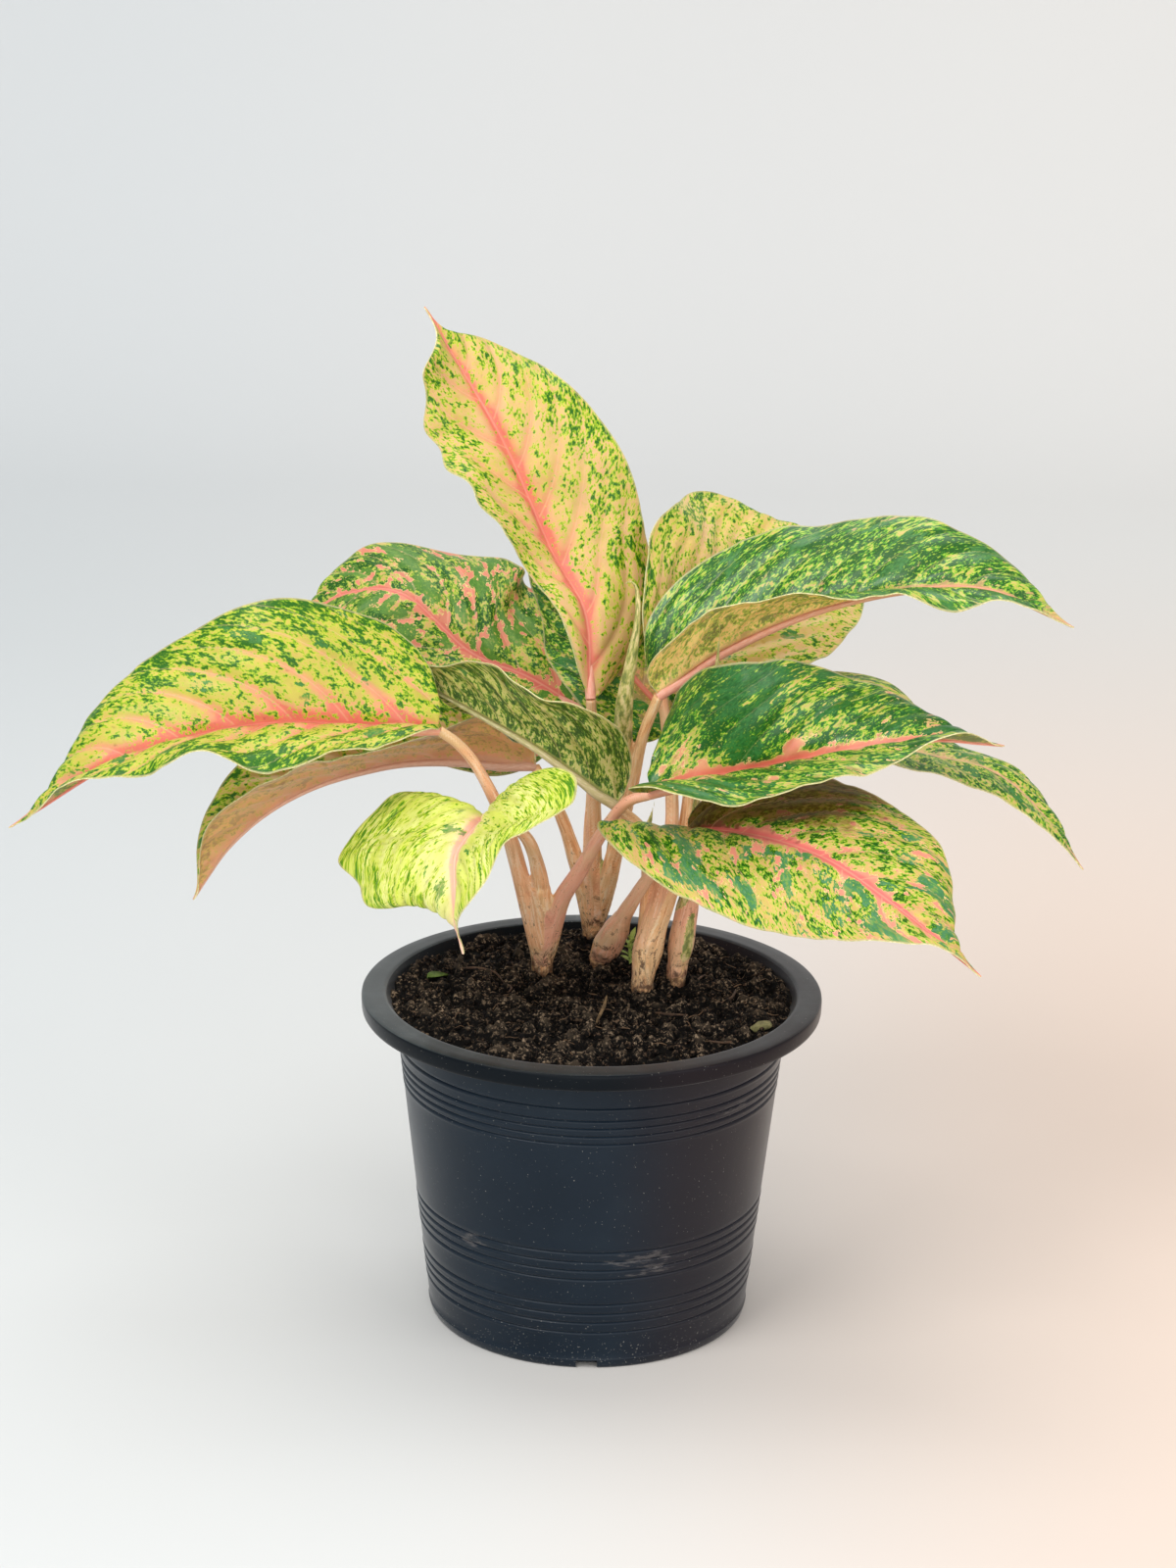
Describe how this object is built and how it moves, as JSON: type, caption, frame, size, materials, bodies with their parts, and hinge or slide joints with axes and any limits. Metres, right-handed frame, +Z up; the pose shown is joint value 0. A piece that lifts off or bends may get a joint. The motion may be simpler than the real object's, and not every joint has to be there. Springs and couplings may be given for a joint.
{
  "type": "potted spring red chinese evergreen",
  "caption": "Potted Chinese evergreen with mottled red, peach and green leaves on pale stalks, standing in a round black nursery pot filled with dark soil.",
  "frame": {"origin": "middle of the pot's foot, where it rests", "axes": "+Z up, -Y towards the side that the picture shows, +X to its right"},
  "size_m": [0.458, 0.2573, 0.4295],
  "materials": {
    "pot_plastic": "satin",
    "soil_peat": "rough",
    "weed_green": "matte",
    "stalk_skin": "satin",
    "leaf_peach": "satin",
    "leaf_yellow": "satin",
    "leaf_salmon": "satin",
    "leaf_green": "satin"
  },
  "bodies": {
    "root": {"pot": "pot_plastic", "soil": "soil_peat", "weed_seedling": "weed_green", "shoot_left": "stalk_skin", "shoot_back": "stalk_skin", "shoot_front": "stalk_skin", "shoot_middle": "stalk_skin", "shoot_right": "stalk_skin", "leaf_top": "leaf_peach", "leaf_left": "leaf_yellow", "leaf_back_left": "leaf_salmon", "leaf_back": "leaf_green", "leaf_back_right": "leaf_peach", "leaf_upper_right": "leaf_green", "leaf_mid_right": "leaf_green", "leaf_low_right": "leaf_salmon", "leaf_centre": "leaf_green", "leaf_far_right": "leaf_green", "leaf_small_front": "leaf_yellow", "leaf_low_left": "leaf_salmon"}
  },
  "joints": []
}
